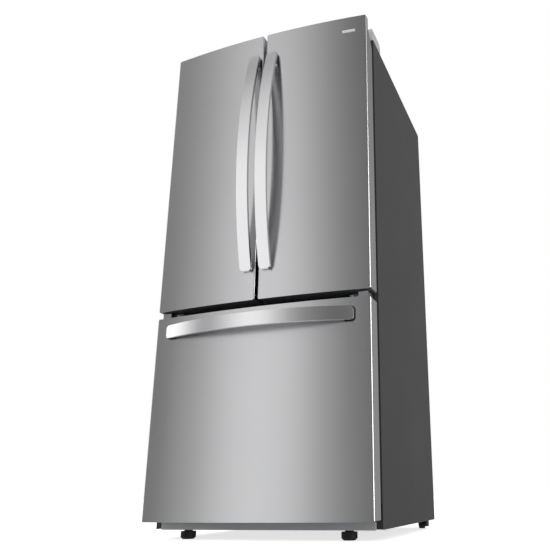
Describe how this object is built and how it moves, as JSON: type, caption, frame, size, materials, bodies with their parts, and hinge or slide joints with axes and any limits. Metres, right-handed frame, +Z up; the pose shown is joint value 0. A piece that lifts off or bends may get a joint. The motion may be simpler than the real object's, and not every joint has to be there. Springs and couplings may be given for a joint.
{
  "type": "french door refrigerator",
  "caption": "French-door refrigerator: curved brushed-steel doors over a pull-out freezer drawer, bowed strap handles and a dark grey cabinet.",
  "frame": {"origin": "on the floor at the middle of the footprint, handles included", "axes": "+X to the refrigerator's left-hand side as seen from inside (right when facing it), -Y out of the doors, +Z up"},
  "size_m": [0.756, 0.8294, 1.735],
  "materials": {
    "brushed_steel": "horizontal brushed satin",
    "handle_steel": "satin",
    "cabinet_paint": "fine textured grey paint",
    "plain_sheet": "zinc-grey sheet",
    "foam": "rigid foam",
    "white_liner": "moulded white",
    "black_steel": "black paint",
    "kick_grey": "grey",
    "hinge_steel": "bright plated",
    "cover_grey": "light grey",
    "dark_plastic": "dark grey",
    "fan_white": "pale grey",
    "fin_aluminium": "mill finish",
    "lamp_lens": "milky lens",
    "shelf_rim": "pale grey",
    "shelf_pane": "clear tempered glass",
    "slide_steel": "zinc plated",
    "seal_rubber": "dark grey",
    "clear_tub": "clear moulded",
    "basket_white": "moulded white",
    "slider_green": "soft green",
    "foot_black": "black"
  },
  "bodies": {
    "cabinet": {"cabinet_wrapper": "cabinet_paint", "back_panel": "plain_sheet", "cabinet_foam": "foam", "fridge_liner": "white_liner", "freezer_liner": "white_liner", "front_cross_rail": "black_steel", "base_frame": "black_steel", "kick_plate": "kick_grey", "top_hinges": "hinge_steel", "hinge_covers": "cover_grey", "middle_hinges": "hinge_steel", "compressor": "black_steel", "condenser": "black_steel", "condenser_fan_motor": "dark_plastic", "drain_pan": "dark_plastic", "machine_cover": "plain_sheet", "evaporator": "fin_aluminium", "evaporator_fan_motor": "dark_plastic", "evaporator_cover": "white_liner", "air_duct": "white_liner", "interior_lamp": "lamp_lens", "control_panel": "fan_white", "shelf_frames": "shelf_rim", "shelf_glass": "shelf_pane", "drawer_slides_fixed": "slide_steel"},
    "left_door": {"left_door_skin": "brushed_steel", "left_door_core": "foam", "left_door_liner": "white_liner", "left_door_caps": "dark_plastic", "left_door_gasket": "seal_rubber", "left_door_handle": "handle_steel", "left_door_bins": "clear_tub"},
    "mullion": {"mullion_flap": "fan_white"},
    "right_door": {"right_door_skin": "brushed_steel", "right_door_core": "foam", "right_door_liner": "white_liner", "right_door_caps": "dark_plastic", "right_door_gasket": "seal_rubber", "right_door_handle": "handle_steel", "right_door_bins": "clear_tub"},
    "freezer_drawer": {"drawer_skin": "brushed_steel", "drawer_core": "foam", "drawer_liner": "white_liner", "drawer_gasket": "seal_rubber", "drawer_handle": "handle_steel", "drawer_slides_inner": "slide_steel", "freezer_basket": "basket_white"},
    "slide_middle": {"drawer_slides_middle": "slide_steel"},
    "tray": {"upper_tray": "clear_tub"},
    "left_crisper": {"crisper_left": "clear_tub"},
    "right_crisper": {"crisper_right": "clear_tub"},
    "left_slider": {"humidity_slider_left": "slider_green"},
    "right_slider": {"humidity_slider_right": "slider_green"},
    "pantry": {"pantry_drawer": "clear_tub"},
    "left_foot": {"front_foot_left": "foot_black"},
    "right_foot": {"front_foot_right": "foot_black"},
    "left_roller": {"rear_roller_left": "foot_black"},
    "right_roller": {"rear_roller_right": "foot_black"},
    "warm_fan": {"condenser_fan": "dark_plastic"},
    "cold_fan": {"evaporator_fan": "fan_white"}
  },
  "joints": [
    {"name": "left_door_hinge", "type": "hinge", "parent": "cabinet", "child": "left_door", "pos_m": [-0.355, -0.28926, 1.204], "axis": [0, 0, -1], "range_deg": [0, 110]},
    {"name": "right_door_hinge", "type": "hinge", "parent": "cabinet", "child": "right_door", "pos_m": [0.355, -0.28926, 1.204], "axis": [0, 0, 1], "range_deg": [0, 110]},
    {"name": "mullion_flap_hinge", "type": "hinge", "parent": "left_door", "child": "mullion", "pos_m": [-0.022, -0.23727, 1.2], "axis": [0, 0, -1], "range_deg": [0, 90]},
    {"name": "freezer_drawer_slide", "type": "slide", "parent": "cabinet", "child": "freezer_drawer", "axis": [0, -1, 0], "range_m": [0, 0.4]},
    {"name": "slide_middle_travel", "type": "slide", "parent": "cabinet", "child": "slide_middle", "axis": [0, -1, 0], "range_m": [0, 0.2]},
    {"name": "upper_tray_slide", "type": "slide", "parent": "freezer_drawer", "child": "tray", "axis": [0, 1, 0], "range_m": [0, 0.1]},
    {"name": "crisper_left_slide", "type": "slide", "parent": "cabinet", "child": "left_crisper", "axis": [0, -1, 0], "range_m": [0, 0.06]},
    {"name": "crisper_right_slide", "type": "slide", "parent": "cabinet", "child": "right_crisper", "axis": [0, -1, 0], "range_m": [0, 0.06]},
    {"name": "humidity_left_slide", "type": "slide", "parent": "left_crisper", "child": "left_slider", "axis": [1, 0, 0], "range_m": [0, 0.03]},
    {"name": "humidity_right_slide", "type": "slide", "parent": "right_crisper", "child": "right_slider", "axis": [1, 0, 0], "range_m": [0, 0.03]},
    {"name": "pantry_slide", "type": "slide", "parent": "cabinet", "child": "pantry", "axis": [0, -1, 0], "range_m": [0, 0.06]},
    {"name": "left_foot_screw", "type": "hinge", "parent": "cabinet", "child": "left_foot", "pos_m": [-0.27, -0.23026, 0.05], "axis": [0, 0, 1], "continuous": true},
    {"name": "right_foot_screw", "type": "hinge", "parent": "cabinet", "child": "right_foot", "pos_m": [0.27, -0.23026, 0.05], "axis": [0, 0, 1], "continuous": true},
    {"name": "left_roller_axle", "type": "hinge", "parent": "cabinet", "child": "left_roller", "pos_m": [-0.343, 0.35474, 0.02], "axis": [1, 0, 0], "continuous": true},
    {"name": "right_roller_axle", "type": "hinge", "parent": "cabinet", "child": "right_roller", "pos_m": [0.343, 0.35474, 0.02], "axis": [1, 0, 0], "continuous": true},
    {"name": "condenser_fan_spin", "type": "hinge", "parent": "cabinet", "child": "warm_fan", "pos_m": [0, 0.29474, 0.14], "axis": [1, 0, 0], "continuous": true},
    {"name": "evaporator_fan_spin", "type": "hinge", "parent": "cabinet", "child": "cold_fan", "pos_m": [0, 0.26423, 0.612], "axis": [0, 1, 0], "continuous": true}
  ],
  "couplings": [
    {"joint": "slide_middle_travel", "follows": "freezer_drawer_slide", "ratio": 0.5}
  ]
}
